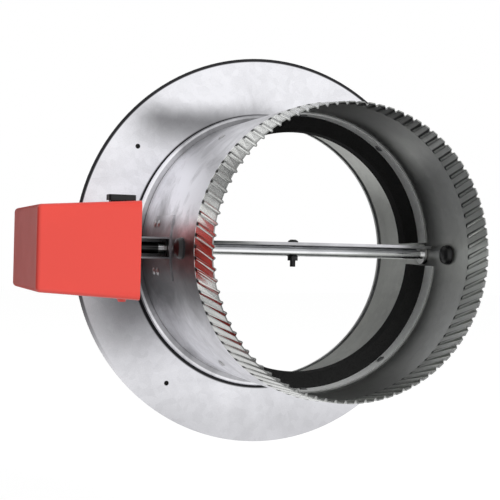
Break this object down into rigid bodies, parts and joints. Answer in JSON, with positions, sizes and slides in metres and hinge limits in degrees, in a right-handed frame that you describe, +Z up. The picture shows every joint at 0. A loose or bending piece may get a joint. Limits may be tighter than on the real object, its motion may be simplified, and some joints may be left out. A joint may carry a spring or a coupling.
{
  "type": "motorized zone damper",
  "caption": "Round duct take-off with a mounting flange, a crimped end and a butterfly blade on a cross shaft, turned by an actuator box on its side.",
  "frame": {"origin": "centre of the mounting flange's back face, on the pipe's axis and the bolt circle's centre", "axes": "+X to the right seen from the crimped end, +Y along the pipe towards the plenum, away from the crimped end, +Z up; the shaft is along X"},
  "size_m": [0.3544, 0.1913, 0.3048],
  "materials": {
    "galvanised_steel": "bright galvanised sheet with faint clouding",
    "bright_band": "bright galvanised strip",
    "black_foam": "matt closed-cell foam",
    "rivet_metal": "plain aluminium",
    "bushing_metal": "satin",
    "black_plastic": "moulded, slightly glossy",
    "bright_shaft": "bright drawn bar",
    "zinc_fastener": "zinc plated",
    "red_cover": "smooth moulded, satin gloss",
    "white_plastic": "moulded",
    "brass_coupling": "turned",
    "grey_plastic": "moulded",
    "motor_can": "plated can"
  },
  "bodies": {
    "housing": {"duct_pipe": "galvanised_steel", "mounting_flange": "galvanised_steel", "upper_gasket": "black_foam", "lower_gasket": "black_foam", "upper_retaining_band": "bright_band", "lower_retaining_band": "bright_band", "band_rivets": "rivet_metal", "bracket_rivets": "rivet_metal", "far_side_bushing": "bushing_metal", "drive_side_bushing": "bushing_metal", "right_hole_plug": "black_plastic", "left_hole_plug": "black_plastic", "actuator_bracket": "galvanised_steel", "actuator_base_plate": "galvanised_steel", "actuator_cover": "red_cover", "cover_screws": "zinc_fastener", "cable_bushing": "black_plastic", "gearbox_housing": "grey_plastic", "drive_motor": "motor_can", "gearbox_posts": "zinc_fastener", "upper_end_switch": "black_plastic", "lower_end_switch": "black_plastic", "terminal_block": "grey_plastic"},
    "damper": {"damper_shaft": "bright_shaft", "shaft_clip": "rivet_metal", "damper_blade": "galvanised_steel", "blade_bolt": "zinc_fastener", "blade_nut": "zinc_fastener", "switch_cam": "white_plastic", "drive_coupling": "brass_coupling", "coupling_set_screw": "zinc_fastener"}
  },
  "joints": [
    {"name": "damper_turn", "type": "hinge", "parent": "housing", "child": "damper", "pos_m": [0, -0.0792, 0], "axis": [-1, 0, 0], "range_deg": [0, 90]}
  ]
}
